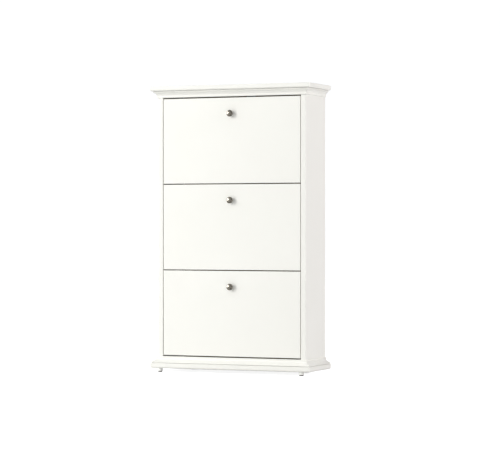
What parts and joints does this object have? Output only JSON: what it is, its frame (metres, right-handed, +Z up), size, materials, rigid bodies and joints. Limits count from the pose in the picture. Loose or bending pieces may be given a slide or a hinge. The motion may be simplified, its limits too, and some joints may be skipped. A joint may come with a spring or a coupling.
{
  "type": "shoe cabinet",
  "caption": "Tall slim white shoe cabinet with a classical cornice and plinth, and inset flaps that tilt out on side pivots, each with a round metal knob.",
  "frame": {"origin": "on the floor, in the middle of the footprint", "axes": "+X to the cabinet's right seen from the front, -Y out of the front, +Z up"},
  "size_m": [0.722, 0.244, 1.2],
  "materials": {
    "white_lacquer": "satin",
    "inner_board": "matt",
    "hardboard": "matt",
    "knob_metal": "satin",
    "zinc_steel": "satin",
    "bracket_plastic": "satin",
    "glide_plastic": "satin",
    "felt": "matt"
  },
  "bodies": {
    "case": {"side_panel_left": "white_lacquer", "side_panel_right": "white_lacquer", "top_board": "white_lacquer", "base_board": "white_lacquer", "top_rail": "white_lacquer", "bottom_rail": "white_lacquer", "cross_rail_lower": "inner_board", "cross_rail_upper": "inner_board", "back_panel": "hardboard", "cornice_front": "white_lacquer", "cornice_left": "white_lacquer", "cornice_right": "white_lacquer", "plinth_front": "white_lacquer", "plinth_left": "white_lacquer", "plinth_right": "white_lacquer", "wall_angle": "zinc_steel", "foot_front_left": "glide_plastic", "foot_pad_front_left": "felt", "foot_front_right": "glide_plastic", "foot_pad_front_right": "felt", "foot_rear_left": "glide_plastic", "foot_pad_rear_left": "felt", "foot_rear_right": "glide_plastic", "foot_pad_rear_right": "felt", "pivot_pin_bottom_left": "zinc_steel", "stop_pin_bottom_left": "zinc_steel", "pivot_pin_bottom_right": "zinc_steel", "stop_pin_bottom_right": "zinc_steel", "pivot_pin_middle_left": "zinc_steel", "stop_pin_middle_left": "zinc_steel", "pivot_pin_middle_right": "zinc_steel", "stop_pin_middle_right": "zinc_steel", "pivot_pin_top_left": "zinc_steel", "stop_pin_top_left": "zinc_steel", "pivot_pin_top_right": "zinc_steel", "stop_pin_top_right": "zinc_steel"},
    "flap_bottom": {"flap_bottom_panel": "white_lacquer", "flap_bottom_knob": "knob_metal", "flap_bottom_knob_screw": "zinc_steel", "flap_bottom_tray_floor": "inner_board", "flap_bottom_tray_divider": "inner_board", "flap_bottom_tray_back": "inner_board", "flap_bottom_bracket_left": "bracket_plastic", "flap_bottom_bracket_right": "bracket_plastic"},
    "flap_middle": {"flap_middle_panel": "white_lacquer", "flap_middle_knob": "knob_metal", "flap_middle_knob_screw": "zinc_steel", "flap_middle_tray_floor": "inner_board", "flap_middle_tray_divider": "inner_board", "flap_middle_tray_back": "inner_board", "flap_middle_bracket_left": "bracket_plastic", "flap_middle_bracket_right": "bracket_plastic"},
    "flap_top": {"flap_top_panel": "white_lacquer", "flap_top_knob": "knob_metal", "flap_top_knob_screw": "zinc_steel", "flap_top_tray_floor": "inner_board", "flap_top_tray_divider": "inner_board", "flap_top_tray_back": "inner_board", "flap_top_bracket_left": "bracket_plastic", "flap_top_bracket_right": "bracket_plastic"}
  },
  "joints": [
    {"name": "flap_bottom_tilt", "type": "hinge", "parent": "case", "child": "flap_bottom", "pos_m": [0, -0.072, 0.151], "axis": [1, 0, 0], "range_deg": [0, 50]},
    {"name": "flap_middle_tilt", "type": "hinge", "parent": "case", "child": "flap_middle", "pos_m": [0, -0.072, 0.511], "axis": [1, 0, 0], "range_deg": [0, 50]},
    {"name": "flap_top_tilt", "type": "hinge", "parent": "case", "child": "flap_top", "pos_m": [0, -0.072, 0.871], "axis": [1, 0, 0], "range_deg": [0, 50]}
  ]
}
